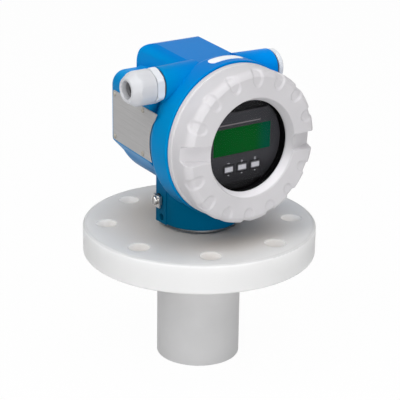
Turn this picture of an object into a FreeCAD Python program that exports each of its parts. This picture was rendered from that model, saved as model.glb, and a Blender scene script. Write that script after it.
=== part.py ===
import FreeCAD, Part
import math
import os

os.makedirs("parts", exist_ok=True)

# Units are millimetres. +Z is up, the origin is the centre of the flange's sealing face,
# the display cover faces -Y.

# Process flange and sensor
FLANGE_D = 200.0
FLANGE_T = 26.0
FLANGE_EDGE_R = 2.4
BOLT_PCD = 160.0
BOLT_HOLE_D = 18.0
BOLT_COUNT = 8
BOLT_PHASE_DEG = 17.0
SENSOR_D = 72.0
SENSOR_LEN = 95.0
SENSOR_EDGE_R = 0.9
SENSOR_WALL = 5.0
MEMBRANE_T = 4.0
GASKET_T = 2.0
SPIGOT_D = 44.0
SPIGOT_WALL_TOP = 8.0
SPIGOT_BORE_D = 28.0
FIT = 0.15
NUT_D = 61.0
NUT_H = 10.0
NUT_RECESS = 2.0
SPIGOT_TOP = FLANGE_T - NUT_RECESS + 1.0
PIEZO_MARGIN = 7.0
MATCHING_T = 4.5
PIEZO_T = 6.0
FOAM_T = 16.0
PROBE_D = 4.0
PROBE_LEN = 14.0
LEAD_D = 6.4

# Swivel neck
NECK_D = 69.0
NECK_LIFT = 3.6
NECK_BOTTOM = FLANGE_T + NECK_LIFT
NECK_H = 82.4
SPINDLE_D = 40.0
SPINDLE_RUN = 0.06
SPINDLE_BORE_D = 14.0
SPINDLE_RISE = 32.4
SPINDLE_TOP = NECK_BOTTOM + SPINDLE_RISE
SPINDLE_END = 6.0
SPINDLE_COLLAR_D = 54.0
SWIVEL_GAP = 0.4
NECK_SEAL_D = 2.6
NECK_SEAL_RISES = (14.4, 21.4)
SHOULDER_RISE = 27.6
CLIP_T = 1.75
CLIP_GROOVE = 1.2
CLIP_PROUD = 2.6

# Housing casting; the cover axis runs along -Y at this height
AXIS_Z = NECK_BOTTOM + NECK_H
REAR = 55.0
FRONT = 46.0
COLLAR_R = 66.0
COLLAR_REAR = 25.0
FLARE_START = 6.0
FLARE_R = 14.0
BARREL_EDGE_R = 9.0
RIM_EDGE_R = 1.2
BORE_R = 47.0
BORE_EDGE_R = 4.0
BORE_STEP = 6.0
REAR_WALL = 8.0
MOUTH_R = 57.35
MOUTH_DEPTH = 15.0
BOX_HALF_REAR = 54.5
BOX_HALF_FRONT = 62.0
BOX_FRONT_Y = -16.0
BOX_TOP = 43.0
BOX_LOW = -17.0
BOX_BOTTOM = -32.0
BOX_SLANT = 14.0
BOX_TOP_R = 12.0
BOX_LOW_R = 5.0
BOX_REAR_R = 4.0
BARREL_R = BOX_HALF_FRONT - 6.0
BARREL_REAR_R = BOX_HALF_REAR - 1.0
ROOF_Z = 66.0
ROOF_HALF = 22.0
ROOF_SIDE = 29.0
ROOF_PITCH = 0.5
ROOF_FALL = 0.077
ROOF_LEVEL_Y = 40.0
ROOF_REAR_R = 20.0
ROOF_EDGE_R = 11.0
ROOF_OVER_ENTRY = 8.0
ATTIC_WALL = 6.0
ATTIC_H = 28.0
ATTIC_REAR = -38.0
ATTIC_FRONT = 24.0
ATTIC_EDGE_R = 3.0
ENTRY_Y = -18.0
ENTRY_RISE = 48.0
ENTRY_Z = AXIS_Z + ENTRY_RISE
ENTRY_FACE = BOX_HALF_FRONT - 6.5
ENTRY_BOSS_R = 14.6
ENTRY_BOSS_ROOT = 9.5
ENTRY_BOSS_DRAFT = 0.9
ENTRY_SPOT_R = ENTRY_BOSS_R + 0.6
ENTRY_HOLE_D = 20.0

# Display cover
COVER_D = 129.0
COVER_GAP = 0.4
COVER_RIM = 4.6
COVER_DEPTH = 28.0
COVER_BEVEL = 7.1
COVER_BULGE_R = 8.0
COVER_FRONT_R = 1.2
COVER_FACE_R = COVER_D / 2.0 - COVER_BEVEL
GLASS_SIGHT_R = 38.5
COVER_LIP_R = GLASS_SIGHT_R + 3.5
GLASS_R = GLASS_SIGHT_R + 5.1
GLASS_DEPTH = 8.2
RETAINER_T = 4.5
RETAINER_W = 6.4
GLASS_T = 4.5
GLASS_SEAL_T = 0.8
SCREW_GAP = 0.35
SKIRT_LEN = 13.0
COVER_SEAL_D = 2.4
COVER_SEAL_SETBACK = 3.4
SCOOP_COUNT = 16
SCOOP_PHASE_DEG = -1.5
SCOOP_W = 9.4
SCOOP_LAND = 6.8
SCOOP_END_R = COVER_LIP_R + SCOOP_LAND
SCOOP_TILT_DEG = 38.0
SCOOP_SOFT_R = 1.0
SLOT_AT = (0, 8)
SLOT_W = 18.0
SLOT_FLOOR_W = 11.4
SLOT_DEPTH = 4.2
SLOT_END_R = COVER_LIP_R + 2.6
SLOT_SOFT_R = 0.7

# Display, keys and electronics
PLATE_R = GLASS_SIGHT_R - 0.1
PLATE_BEHIND_GLASS = 1.9
GLASS_REAR = FRONT + COVER_GAP + COVER_DEPTH - GLASS_DEPTH - GLASS_SEAL_T - GLASS_T
PLATE_FRONT = GLASS_REAR - PLATE_BEHIND_GLASS
PLATE_T = 1.2
PLATE_TOP = 28.0
PLATE_LOW = -32.0
LCD_W = 57.0
LCD_H = 22.4
LCD_Z = 3.6
KEY_W = 8.8
KEY_H = 6.0
KEY_PITCH = 13.3
KEY_Z = -19.8
KEY_PROUD = 0.6
KEY_TRAVEL = 0.8
KEY_GAP = 0.3
KEY_DEPTH = 6.0
CASE_REAR = FRONT - 8.0
CASE_STEP = FRONT + 6.5
CASE_R = PLATE_R + 5.6
FRAME_W = 30.0
FRAME_T = 4.0
MODULE_FRONT = -12.0
MODULE_R = BORE_R - 2.0
MODULE_BOLT_R = MODULE_R - 13.0
TERMINAL_COUNT = 4
TERMINAL_PITCH = 10.0
TERMINAL_H = 8.6
TERMINAL_DEPTH = 16.0
TERMINAL_POCKET_D = 5.2
TERMINAL_SCREW_D = 4.6
TERMINAL_SCREW_T = 2.6
TERMINAL_SCREW_AT = 4.0
TERMINAL_SLOT = 0.8

# Cable gland, blanking plug and small parts
GLAND_AF = 27.0
GLAND_BASE = 8.2
GLAND_LEN = 30.0
GLAND_THREAD_D = 22.0
GLAND_MOUTH_D = 15.0
GLAND_BORE_D = 15.2
CABLE_D = 8.0
ENTRY_SEAL_T = 1.6
PLUG_D = 28.0
PLUG_HEAD = 5.2
PLUG_LEN = 13.0
PLUG_HOLLOW_D = 13.0
PLUG_SLOT_W = 3.2
PLUG_SLOT_DEPTH = 2.4
NAMEPLATE_REAR = 49.5
NAMEPLATE_MARGIN = 0.7
NAMEPLATE_H = 43.0
NAMEPLATE_Z = 6.0
NAMEPLATE_PIN_IN = 3.0
NAMEPLATE_T = 0.8
LABEL_LEN = 32.0
LABEL_W = 9.8
LABEL_T = 0.35
LABEL_CORNER_R = 4.0
LABEL_REAR = 28.8
PAD_PROUD = 1.0
PAD_W = 15.0
PAD_H = 44.0
GROUND_Y = 9.0
GROUND_Z = NECK_BOTTOM + 20.4
LOCK_Y = 5.5
LOCK_Z = NECK_BOTTOM + 5.4
LOCK_D = 5.8
LOCK_LEN = 11.0
LOCK_HEX_AF = 3.0
CLAMP_T = 2.6
CLAMP_W = 9.5
CLAMP_H = 10.5
WASHER_D = 10.0
WASHER_T = 1.0
GROUND_HEAD_D = 8.0
GROUND_HEAD_H = 2.8
GROUND_HOLE_D = 4.0

V = FreeCAD.Vector
Z_AXIS = V(0, 0, 1)
saved = []


def save(name, shape):
    """Write one node as its own STEP file."""
    shape.exportStep(os.path.join("parts", name + ".step"))
    saved.append(name)


def outline(points, place):
    """Closed wire through points (a, b) or (a, b, corner radius)."""
    count = len(points)
    edges = []
    starts = []
    ends = []
    mids = []
    for i in range(count):
        p = points[i]
        here = V(p[0], p[1], 0)
        radius = p[2] if len(p) > 2 else 0.0
        before = points[i - 1]
        after = points[(i + 1) % count]
        to_before = V(before[0], before[1], 0).sub(here).normalize()
        to_after = V(after[0], after[1], 0).sub(here).normalize()
        if radius <= 0:
            starts.append(here)
            ends.append(here)
            mids.append(None)
            continue
        half = to_before.getAngle(to_after) / 2.0
        back = radius / math.tan(half)
        bisector = to_before.add(to_after).normalize()
        centre = here.add(bisector * (radius / math.sin(half)))
        starts.append(here.add(to_before * back))
        ends.append(here.add(to_after * back))
        mids.append(centre.sub(bisector * radius))
    for i in range(count):
        if mids[i] is not None:
            edges.append(Part.Arc(place(starts[i]), place(mids[i]), place(ends[i])).toShape())
        start = ends[i]
        end = starts[(i + 1) % count]
        if start.distanceToPoint(end) > 1e-6:
            edges.append(Part.LineSegment(place(start), place(end)).toShape())
    return Part.Wire(edges)


def turned(points):
    """Solid of revolution about Z from (radius, height[, corner radius]) points."""
    face = Part.Face(outline(points, lambda p: V(p.x, 0, p.y)))
    return face.revolve(V(0, 0, 0), Z_AXIS, 360)


def tube(r_out, r_in, low, high):
    """Plain ring or disc about Z."""
    body = Part.makeCylinder(r_out, high - low, V(0, 0, low))
    if r_in > 0:
        body = body.cut(Part.makeCylinder(r_in, high - low + 2, V(0, 0, low - 1)))
    return body


def torus(ring_r, wire_r, height):
    """O-ring about Z."""
    return Part.makeTorus(ring_r, wire_r, V(0, 0, height), Z_AXIS)


def hexagon(across_flats, low, high):
    """Hexagonal prism about Z with a corner pointing along +X."""
    corner = across_flats / math.sqrt(3.0)
    points = []
    for i in range(6):
        angle = math.radians(60 * i)
        points.append((corner * math.cos(angle), corner * math.sin(angle)))
    wire = outline(points, lambda p: V(p.x, p.y, low))
    return Part.Face(wire).extrude(V(0, 0, high - low))


def placed(shape, origin, direction):
    """Copy of a shape made about Z, turned so that Z points along the direction."""
    moved = shape.copy()
    turn = FreeCAD.Placement(origin, FreeCAD.Rotation(Z_AXIS, direction))
    moved.Placement = turn.multiply(shape.Placement)
    return moved


def to_front(shape):
    """Put a shape made about Z onto the cover axis, Z pointing out of the front."""
    moved = shape.copy()
    turn = FreeCAD.Placement(V(0, 0, AXIS_Z), FreeCAD.Rotation(V(1, 0, 0), 90))
    moved.Placement = turn.multiply(shape.Placement)
    return moved


def to_left(shape):
    """Put a shape made about Z onto the left entry, Z pointing out of the boss face."""
    return placed(shape, V(-ENTRY_FACE, ENTRY_Y, ENTRY_Z), V(-1, 0, 0))


def to_right(shape):
    """Put a shape made about Z onto the right entry, Z pointing out of the boss face."""
    return placed(shape, V(ENTRY_FACE, ENTRY_Y, ENTRY_Z), V(1, 0, 0))


def front_box(width, height, low, high, x=0.0, z=0.0, corner=0.0):
    """Block on the cover axis: width along X, height along Z, low to high towards the front."""
    w = width / 2.0
    h = height / 2.0
    points = [(x - w, z - h, corner), (x + w, z - h, corner), (x + w, z + h, corner), (x - w, z + h, corner)]
    wire = outline(points, lambda p: V(p.x, -low, AXIS_Z + p.y))
    return Part.Face(wire).extrude(V(0, -(high - low), 0))


def group(shapes):
    """Several identical solids as one node."""
    return Part.makeCompound(shapes)


def build_flange():
    """Plastic flange with a bolt circle and a counterbore for the sensor's lock nut."""
    r = FLANGE_D / 2.0
    bore = SPIGOT_D / 2.0 + FIT
    nut = NUT_D / 2.0 + 1.0
    seat = FLANGE_T - NUT_H - NUT_RECESS
    body = turned([(bore, 0), (r, 0, FLANGE_EDGE_R), (r, FLANGE_T, FLANGE_EDGE_R), (nut, FLANGE_T),
                   (nut, seat), (bore, seat)])
    holes = []
    for i in range(BOLT_COUNT):
        angle = math.radians(BOLT_PHASE_DEG + 360.0 * i / BOLT_COUNT)
        x = BOLT_PCD / 2.0 * math.cos(angle)
        y = BOLT_PCD / 2.0 * math.sin(angle)
        holes.append(Part.makeCylinder(BOLT_HOLE_D / 2.0, FLANGE_T + 2, V(x, y, -1)))
    save("flange", body.cut(Part.makeCompound(holes)))
    save("sensor_gasket", tube(SENSOR_D / 2.0 - 1.5, bore, -GASKET_T, 0))
    spigot = SPIGOT_D / 2.0
    ring_r = NUT_D / 2.0
    ring_top = seat + NUT_H
    ring = turned([(spigot, seat), (ring_r, seat, 0.6), (ring_r, ring_top, 1.0), (spigot, ring_top)])
    slots = []
    for i in range(4):
        slot = Part.makeBox(8, 6, 4, V(ring_r - 6, -3, ring_top - 3.5))
        slot.rotate(V(0, 0, 0), Z_AXIS, 45 + 90 * i)
        slots.append(slot)
    save("lock_nut", ring.cut(Part.makeCompound(slots)))


def build_sensor():
    """Closed sensor cup and what it holds: transducer, damping, potting, temperature probe."""
    r = SENSOR_D / 2.0
    inner = r - SENSOR_WALL
    bottom = -SENSOR_LEN
    top = -GASKET_T
    spigot = SPIGOT_D / 2.0
    bore = SPIGOT_BORE_D / 2.0
    roof = top - SPIGOT_WALL_TOP
    floor = bottom + MEMBRANE_T
    save("sensor_housing", turned([(0, bottom), (r, bottom, SENSOR_EDGE_R), (r, top, 0.8), (spigot, top),
                                   (spigot, SPIGOT_TOP, 0.8), (bore, SPIGOT_TOP), (bore, roof), (inner, roof),
                                   (inner, floor), (0, floor)]))
    match_top = floor + MATCHING_T
    piezo_top = match_top + PIEZO_T
    foam_top = piezo_top + FOAM_T
    piezo = inner - PIEZO_MARGIN
    pot_top = roof - 4.0
    save("matching_layer", tube(inner, 0, floor, match_top))
    save("piezo_disc", tube(piezo, 0, match_top, piezo_top))
    save("damping_foam", turned([(piezo, match_top), (inner, match_top), (inner, foam_top), (0, foam_top),
                                 (0, piezo_top), (piezo, piezo_top)]))
    probe_x = inner - 5.0
    probe = Part.makeCylinder(PROBE_D / 2.0, PROBE_LEN, V(probe_x, 0, foam_top))
    probe = probe.fuse(Part.makeSphere(PROBE_D / 2.0, V(probe_x, 0, foam_top + PROBE_LEN)))
    save("temperature_probe", probe)
    potting = tube(inner, 0, foam_top, pot_top).cut(probe)
    save("sensor_potting", potting.cut(Part.makeCylinder(LEAD_D / 2.0, SENSOR_LEN, V(0, 0, piezo_top))))
    lead = Part.makeCylinder(LEAD_D / 2.0, SPINDLE_TOP - foam_top, V(0, 0, foam_top))
    save("sensor_lead", lead)
    plug_r = SPINDLE_BORE_D / 2.0 + 2.0
    socket = plug_r - 3.0
    plug_top = SPINDLE_TOP + 9.0
    plug_floor = SPINDLE_TOP + 4.0
    plug = turned([(0, SPINDLE_TOP), (plug_r, SPINDLE_TOP, 0.8), (plug_r, plug_top, 1.0), (socket, plug_top),
                   (socket, plug_floor), (0, plug_floor)])
    save("sensor_connector", plug)


def build_spindle():
    """Tubular spindle screwed into the sensor; the housing turns on it."""
    r = SPINDLE_D / 2.0
    bore = SPINDLE_BORE_D / 2.0
    collar = SPINDLE_COLLAR_D / 2.0
    collar_low = SPIGOT_TOP
    collar_top = NECK_BOTTOM - SWIVEL_GAP
    groove = r - NECK_SEAL_D - 0.02
    stem = SPIGOT_BORE_D / 2.0
    body = turned([(bore, SPINDLE_END), (stem, SPINDLE_END, 0.6), (stem, collar_low),
                   (collar, collar_low, 0.5), (collar, collar_top, 0.5), (r, collar_top),
                   (r, SPINDLE_TOP, 0.8), (bore, SPINDLE_TOP)])
    seals = []
    for rise in NECK_SEAL_RISES:
        level = NECK_BOTTOM + rise
        body = body.cut(tube(r + 1, groove, level - 1.5, level + 1.5))
        seals.append(torus(groove + NECK_SEAL_D / 2.0, NECK_SEAL_D / 2.0, level))
    clip_low = NECK_BOTTOM + SHOULDER_RISE + SWIVEL_GAP
    clip_top = clip_low + CLIP_T
    clip_in = r - CLIP_GROOVE
    body = body.cut(tube(r + 1, clip_in, clip_low, clip_top))
    save("swivel_spindle", body)
    save("neck_seals", group(seals))
    clip = tube(r + CLIP_PROUD, clip_in, clip_low, clip_top)
    save("spindle_clip", clip.cut(Part.makeBox(9, 12, 6, V(r - 4, -6, clip_low - 2))))


def barrel_form(grow):
    """Barrel that flares into the collar behind the cover, all round grown by a margin."""
    collar = COLLAR_R + grow
    return to_front(turned([(0, -REAR), (BARREL_REAR_R + grow, -REAR, BARREL_EDGE_R),
                            (BARREL_R + grow, FLARE_START, FLARE_R), (collar, COLLAR_REAR, BARREL_EDGE_R),
                            (collar, FRONT, RIM_EDGE_R), (0, FRONT)]))


def housing_shell():
    """Outer form of the casting: barrel with collar, drafted box, roof, entry bosses, neck and pad."""
    barrel = barrel_form(0.0)
    wires = []
    for y, w in ((REAR, BOX_HALF_REAR), (BOX_FRONT_Y, BOX_HALF_FRONT)):
        low = w - BOX_SLANT
        points = [(-w, BOX_TOP, BOX_TOP_R), (-w, BOX_LOW, BOX_LOW_R), (-low, BOX_BOTTOM, BOX_LOW_R),
                  (low, BOX_BOTTOM, BOX_LOW_R), (w, BOX_LOW, BOX_LOW_R), (w, BOX_TOP, BOX_TOP_R)]
        wires.append(outline(points, lambda p, y=y: V(p.x, y, AXIS_Z + p.y)))
    box = Part.makeLoft(wires, True, True)
    rear_edges = [e for e in box.Edges if all(abs(v.Point.y - REAR) < 0.01 for v in e.Vertexes)]
    box = box.makeFillet(BOX_REAR_R, rear_edges)
    apex = ROOF_Z + ROOF_HALF * ROOF_PITCH
    eaves = apex - ROOF_SIDE * ROOF_PITCH
    back_lift = ROOF_FALL * (REAR - ROOF_LEVEL_Y)
    side = [(-ROOF_SIDE, 0), (-ROOF_SIDE, eaves, ROOF_EDGE_R), (0, apex), (ROOF_SIDE, eaves, ROOF_EDGE_R),
            (ROOF_SIDE, 0)]
    wire = outline(side, lambda p: V(p.x, REAR, AXIS_Z + p.y + back_lift))
    length = REAR - ENTRY_Y + ROOF_OVER_ENTRY
    sides = Part.Face(wire).extrude(V(0, -length, -length * ROOF_FALL))
    front_y = REAR - length
    roof_rear = ROOF_Z + back_lift
    roof_front = roof_rear - length * ROOF_FALL
    section = [(front_y, 0), (front_y, roof_front), (REAR, roof_rear, ROOF_REAR_R), (REAR, 0)]
    wire = outline(section, lambda p: V(-COLLAR_R, p.x, AXIS_Z + p.y))
    roof = sides.common(Part.Face(wire).extrude(V(2 * COLLAR_R, 0, 0)))
    root = ROOF_SIDE - ENTRY_FACE - ENTRY_BOSS_ROOT
    boss_root = ENTRY_BOSS_R + ENTRY_BOSS_DRAFT
    boss = turned([(0, root), (boss_root, root), (ENTRY_BOSS_R, 0, 0.8), (0, 0)])
    neck = Part.makeCylinder(NECK_D / 2.0, NECK_H + BOX_BOTTOM, V(0, 0, NECK_BOTTOM))
    neck = neck.makeChamfer(1.0, [neck.Edges[2]])
    pad_corner = V(-NECK_D / 2.0 - PAD_PROUD, LOCK_Y - 6.5, NECK_BOTTOM)
    pad = Part.makeBox(NECK_D / 4.0, PAD_W, PAD_H, pad_corner)
    return barrel.fuse([box, roof, to_left(boss), to_right(boss), neck, pad]).removeSplitter()


def build_housing():
    """Casting with its cavity, threaded mouth, cable entries, swivel bore and tapped holes."""
    outer = housing_shell()
    floor = -REAR + REAR_WALL
    wide = BORE_R + BORE_STEP
    mouth = FRONT - MOUTH_DEPTH
    step = mouth - MOUTH_DEPTH - 1.0
    cavity = to_front(turned([(0, floor), (BORE_R, floor, BORE_EDGE_R), (BORE_R, step - BORE_STEP - 1.0),
                              (wide, step), (wide, mouth - 1.0), (MOUTH_R, mouth), (MOUTH_R, FRONT + 1),
                              (0, FRONT + 1)]))
    attic_half = ROOF_SIDE - ATTIC_WALL
    attic_z = attic_roof() - ATTIC_H / 2.0
    attic = front_box(2 * attic_half, ATTIC_H, ATTIC_REAR, ATTIC_FRONT, 0, attic_z, ATTIC_EDGE_R)
    depth = ENTRY_FACE - attic_half + 2.5
    hole = Part.makeCylinder(ENTRY_HOLE_D / 2.0, depth + 1, V(0, 0, -depth))
    hole = hole.fuse(Part.makeCylinder(ENTRY_SPOT_R, BOX_HALF_FRONT - ENTRY_FACE + 5.0))
    r = SPINDLE_D / 2.0
    run = r + SPINDLE_RUN
    well = r + CLIP_PROUD + 1.4
    shoulder = NECK_BOTTOM + SHOULDER_RISE
    top = AXIS_Z - BORE_R + 10.0
    swivel = turned([(0, NECK_BOTTOM - 1), (r + 1.2, NECK_BOTTOM - 1), (run, NECK_BOTTOM + 0.8),
                     (run, shoulder), (well, shoulder), (well, top), (0, top)])
    pad_x = -NECK_D / 2.0 - PAD_PROUD
    inwards = V(1, 0, 0)
    ground = Part.makeCylinder(GROUND_HOLE_D / 2.0, 12, V(pad_x - 0.5, GROUND_Y, GROUND_Z), inwards)
    lock = Part.makeCylinder(LOCK_D / 2.0 + 0.1, -pad_x - r + 3.0, V(pad_x - 1, LOCK_Y, LOCK_Z), inwards)
    housing = outer.cut([cavity, attic, to_left(hole), to_right(hole), swivel, ground, lock])
    pins = []
    for pin in nameplate_pin_places():
        pins.append(placed(Part.makeCylinder(1.2, 3.2, V(0, 0, -3.2)), pin, nameplate_normal()))
    bolts = []
    for x, z in electronics_bolts():
        bolts.append(to_front(Part.makeCylinder(1.5, 5.5, V(x, z, floor - 5.0))))
    save("housing", housing.cut(pins + bolts))


def attic_roof():
    """Height of the hollow under the roof, above the cover axis."""
    return ROOF_Z - ATTIC_WALL - 3.0


def nameplate_normal():
    """Outward normal of the drafted left face."""
    draft = math.atan2(BOX_HALF_FRONT - BOX_HALF_REAR, REAR - BOX_FRONT_Y)
    return V(-math.cos(draft), math.sin(draft), 0)


def face_point(y, z):
    """Point on the drafted left face."""
    t = (REAR - y) / (REAR - BOX_FRONT_Y)
    return V(-(BOX_HALF_REAR + t * (BOX_HALF_FRONT - BOX_HALF_REAR)), y, AXIS_Z + z)


def nameplate_pin_places():
    """Four corners of the nameplate."""
    places = []
    rise = NAMEPLATE_H / 2.0 - NAMEPLATE_PIN_IN
    for y in (NAMEPLATE_REAR - NAMEPLATE_PIN_IN - 0.5, -FLARE_START):
        for z in (NAMEPLATE_Z + rise, NAMEPLATE_Z - rise):
            places.append(face_point(y, z))
    return places


def electronics_bolts():
    """Places of the module's screws on the rear wall."""
    places = []
    for turn in (90, 210, 330):
        angle = math.radians(turn)
        places.append((MODULE_BOLT_R * math.cos(angle), MODULE_BOLT_R * math.sin(angle)))
    return places


def build_plates():
    """Nameplate with its drive pins, and the blank label on top of the collar."""
    normal = nameplate_normal()
    low = NAMEPLATE_Z - NAMEPLATE_H / 2.0
    high = NAMEPLATE_Z + NAMEPLATE_H / 2.0
    front = -COLLAR_REAR - 5.0
    corners = [(NAMEPLATE_REAR, low, 2.0), (front, low), (front, high), (NAMEPLATE_REAR, high, 2.0)]
    wire = outline(corners, lambda p: face_point(p.x, p.y))
    plate = Part.Face(wire).extrude(normal * NAMEPLATE_T).cut(barrel_form(NAMEPLATE_MARGIN))
    pins = []
    holes = []
    for place in nameplate_pin_places():
        top = NAMEPLATE_T + 0.9
        pin = turned([(0, -3.0), (1.15, -3.0), (1.15, NAMEPLATE_T), (2.1, NAMEPLATE_T), (2.1, top, 0.7),
                      (0, top)])
        pins.append(placed(pin, place, normal))
        holes.append(placed(Part.makeCylinder(1.25, 4, V(0, 0, -2)), place, normal))
    save("nameplate", plate.cut(holes))
    save("nameplate_pins", group(pins))
    rear = LABEL_REAR
    front = rear + LABEL_W
    label = to_front(tube(COLLAR_R + LABEL_T, COLLAR_R, rear - 1, front + 1))
    half = LABEL_LEN / 2.0
    r = LABEL_CORNER_R
    corners = [(-half, -front, r), (half, -front, r), (half, -rear, r), (-half, -rear, r)]
    pill = outline(corners, lambda p: V(p.x, p.y, AXIS_Z))
    save("top_label", label.common(Part.Face(pill).extrude(V(0, 0, 2 * COLLAR_R))))


def build_neck_parts():
    """Ground terminal and swivel lock screw on the neck's pad."""
    pad_x = -NECK_D / 2.0 - PAD_PROUD
    ground = V(pad_x, GROUND_Y, GROUND_Z)
    out = V(-1, 0, 0)
    shank = GROUND_HOLE_D / 2.0
    save("ground_washer", placed(tube(WASHER_D / 2.0, shank + 0.2, 0, WASHER_T), ground, out))
    corner = V(pad_x - WASHER_T - CLAMP_T, GROUND_Y - 5.5, GROUND_Z - 6.2)
    clamp = Part.makeBox(CLAMP_T, CLAMP_W, CLAMP_H, corner)
    wire_way = Part.makeBox(1.2, CLAMP_W + 2.0, 3.0, V(pad_x - WASHER_T - 1.2, GROUND_Y - 6, GROUND_Z - 6.4))
    clamp = clamp.cut(wire_way)
    save("ground_clamp", clamp.cut(placed(Part.makeCylinder(shank + 0.2, 8), ground, out)))
    seat = WASHER_T + CLAMP_T
    top = seat + GROUND_HEAD_H
    head = GROUND_HEAD_D / 2.0
    core = shank - 0.05
    screw = turned([(0, -9.0), (core, -9.0), (core, seat), (head, seat), (head, top, 1.2), (0, top)])
    screw = screw.cut(Part.makeBox(GROUND_HEAD_D + 1.0, 1.1, 2, V(-head - 0.5, -0.55, top - 1.2)))
    save("ground_screw", placed(screw, ground, out))
    tip = V(-SPINDLE_D / 2.0 - 0.3, LOCK_Y, LOCK_Z)
    lock_r = LOCK_D / 2.0
    lock = turned([(0, 0), (lock_r - 0.9, 0), (lock_r, 1.0), (lock_r, LOCK_LEN), (0, LOCK_LEN)])
    lock = lock.cut(hexagon(LOCK_HEX_AF, LOCK_LEN - 3.0, LOCK_LEN + 1))
    save("swivel_lock_screw", placed(lock, tip, out))


def scoop_tool(face):
    """Round-bottomed cutter, tilted so that its floor leaves the front face at the scoop's inner end."""
    r = SCOOP_W / 2.0
    reach = COVER_D / 2.0
    tool = Part.makeCylinder(r, 2 * reach, V(r, 0, -reach))
    tool = tool.fuse(Part.makeBox(reach, SCOOP_W, 2 * reach, V(r, -r, -reach))).removeSplitter()
    tool.rotate(V(0, 0, 0), V(0, 1, 0), SCOOP_TILT_DEG - 90.0)
    tool.translate(V(SCOOP_END_R, 0, face))
    return tool


def slot_tool(face):
    """Cutter with sloping sides for a tool slot across the front face."""
    low = SLOT_FLOOR_W / 2.0
    slope = (SLOT_W - SLOT_FLOOR_W) / 2.0 / SLOT_DEPTH
    over = SLOT_DEPTH
    top = SLOT_W / 2.0 + slope * over
    points = [(-low, -SLOT_DEPTH), (low, -SLOT_DEPTH), (top, over), (-top, over)]
    wire = outline(points, lambda p: V(SLOT_END_R, p.x, face + p.y))
    return Part.Face(wire).extrude(V(COVER_D, 0, 0))


def softened(body, tool, radius, half_angle):
    """Body with the tool's shape cut out and the rim of the cut rounded, save on the sector's sides."""
    cut = body.cut(tool)
    skin = Part.makeShell(tool.Faces)
    surface = Part.makeShell(body.Faces)
    side = math.sin(math.radians(half_angle))
    rims = []
    for edge in cut.Edges:
        middle = edge.valueAt((edge.FirstParameter + edge.LastParameter) / 2.0)
        on_side = abs(abs(middle.y) - math.hypot(middle.x, middle.y) * side) < 0.01
        point = Part.Vertex(middle)
        if not on_side and skin.distToShape(point)[0] < 0.001 and surface.distToShape(point)[0] < 0.001:
            rims.append(edge)
    return cut.makeFillet(radius, rims)


def gripped(body, face):
    """Cover with grip scoops all round, one softened sector repeated, and two tool slots in their row."""
    step = 360.0 / SCOOP_COUNT
    wedge = Part.makeCylinder(COVER_D, 4 * COVER_D, V(0, 0, -2 * COVER_D), Z_AXIS, step)
    wedge.rotate(V(0, 0, 0), Z_AXIS, -step / 2.0)
    plain = body.common(wedge)
    scooped = softened(plain, scoop_tool(face), SCOOP_SOFT_R, step / 2.0)
    sectors = []
    for i in range(SCOOP_COUNT):
        sector = plain.copy() if i in SLOT_AT else scooped.copy()
        sector.rotate(V(0, 0, 0), Z_AXIS, step * i)
        sectors.append(sector)
    cover = sectors[0].fuse(sectors[1:]).removeSplitter()
    for i in SLOT_AT:
        cover.rotate(V(0, 0, 0), Z_AXIS, -step * i)
        cover = softened(cover, slot_tool(face), SLOT_SOFT_R, 90.0)
        cover.rotate(V(0, 0, 0), Z_AXIS, step * i)
    cover.rotate(V(0, 0, 0), Z_AXIS, SCOOP_PHASE_DEG)
    return cover


def build_cover():
    """Screwed cover with grip scoops, its window, window seal, retaining ring and O-ring."""
    rear = FRONT + COVER_GAP
    face = rear + COVER_DEPTH
    rim = rear + COVER_RIM
    ledge = face - GLASS_DEPTH
    glass_front = ledge - GLASS_SEAL_T
    glass_rear = glass_front - GLASS_T
    skirt = MOUTH_R - SCREW_GAP
    skirt_in = GLASS_R + RETAINER_W
    pocket = GLASS_R + 0.2
    edge = COVER_D / 2.0
    flank = edge - 0.8
    skirt_end = rear - SKIRT_LEN
    body = turned([(skirt_in, skirt_end), (skirt, skirt_end, 0.8), (skirt, rear), (edge, rear, 0.8),
                   (edge, rim, 1.5), (flank, rim + 0.7), (flank, face - 2.6, COVER_BULGE_R),
                   (COVER_FACE_R, face, COVER_FRONT_R), (COVER_LIP_R, face, 1.0),
                   (GLASS_SIGHT_R, ledge + 1.2), (GLASS_SIGHT_R, ledge), (pocket, ledge), (pocket, glass_rear),
                   (skirt_in, glass_rear)])
    body = gripped(body, face)
    groove = rear - COVER_SEAL_SETBACK
    half_w = COVER_SEAL_D / 2.0 + 0.3
    body = body.cut(tube(skirt + 1, skirt - COVER_SEAL_D, groove - half_w, groove + half_w))
    save("display_cover", to_front(body))
    save("cover_seal", to_front(torus(skirt - COVER_SEAL_D / 2.0 + 0.05, COVER_SEAL_D / 2.0, groove)))
    save("cover_window", to_front(tube(GLASS_R, 0, glass_rear, glass_front)))
    save("window_seal", to_front(tube(GLASS_R, GLASS_SIGHT_R + 0.6, glass_front, ledge)))
    ring_in = PLATE_R + 2.1
    ring = tube(skirt_in, ring_in, glass_rear - RETAINER_T, glass_rear)
    notches = []
    for a in (0, 180):
        notch = Part.makeBox(5, 5, 3, V(ring_in + 2.0, -2.5, glass_rear - RETAINER_T - 1.0))
        notch.rotate(V(0, 0, 0), Z_AXIS, a)
        notches.append(notch)
    save("window_retainer", to_front(ring.cut(notches)))


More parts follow.
